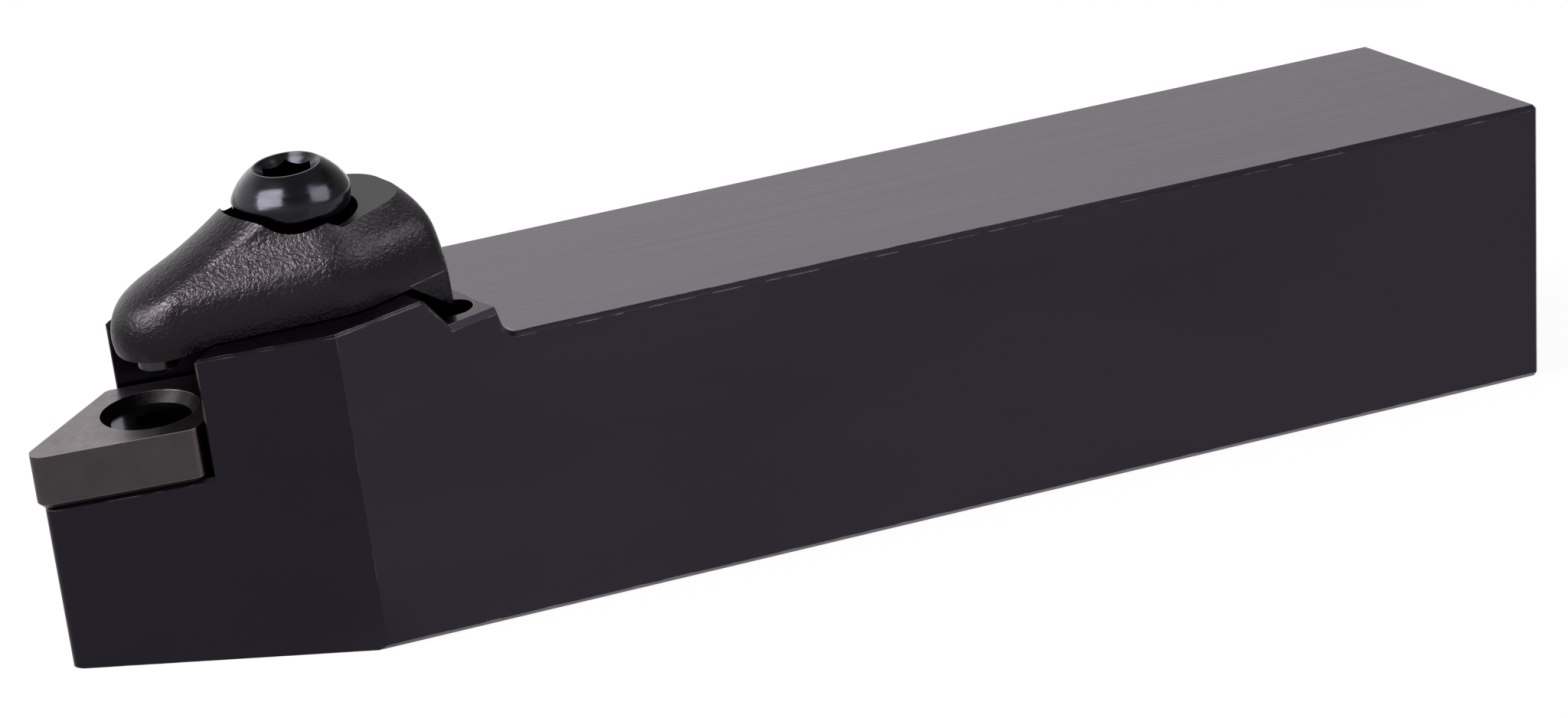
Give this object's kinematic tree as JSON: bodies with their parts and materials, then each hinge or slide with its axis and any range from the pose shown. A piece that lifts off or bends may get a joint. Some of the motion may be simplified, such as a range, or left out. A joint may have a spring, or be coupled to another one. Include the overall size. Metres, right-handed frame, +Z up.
{
  "type": "turning tool holder",
  "caption": "Square-shank turning tool holder with a sloped rhombic insert pocket, a carbide shim and a screw-down top clamp.",
  "frame": {"origin": "middle of the underside of the shank, below the middle of the overall length", "axes": "+X from the nose to the rear end of the shank, +Y across, +Z up"},
  "size_m": [0.148, 0.025, 0.0397],
  "materials": {
    "body_steel": "ground, then blackened",
    "clamp_steel": "investment cast, blackened",
    "screw_steel": "turned, gloss black",
    "shim_carbide": "ground tungsten carbide",
    "pin_steel": "turned, bright",
    "spring_steel": "drawn wire"
  },
  "bodies": {
    "holder": {"holder_body": "body_steel", "shim": "shim_carbide", "shim_screw": "screw_steel"},
    "clamp": {"clamp": "clamp_steel", "clamp_pin": "pin_steel", "clamp_spring": "spring_steel"},
    "clamp_screw": {"clamp_screw": "screw_steel"}
  },
  "joints": [
    {"name": "clamp_lift", "type": "slide", "parent": "holder", "child": "clamp", "axis": [-0.1478, 0, 0.989], "range_m": [0, 0.004], "deforming": ["clamp_spring"]},
    {"name": "clamp_screw_turn", "type": "hinge", "parent": "clamp", "child": "clamp_screw", "pos_m": [-0.04757, 0, 0.03445], "axis": [-0.1478, 0, 0.989], "range_deg": [0, 1440]}
  ],
  "couplings": [
    {"joint": "clamp_screw_turn", "follows": "clamp_lift", "rad_per_m": 6283.2}
  ]
}
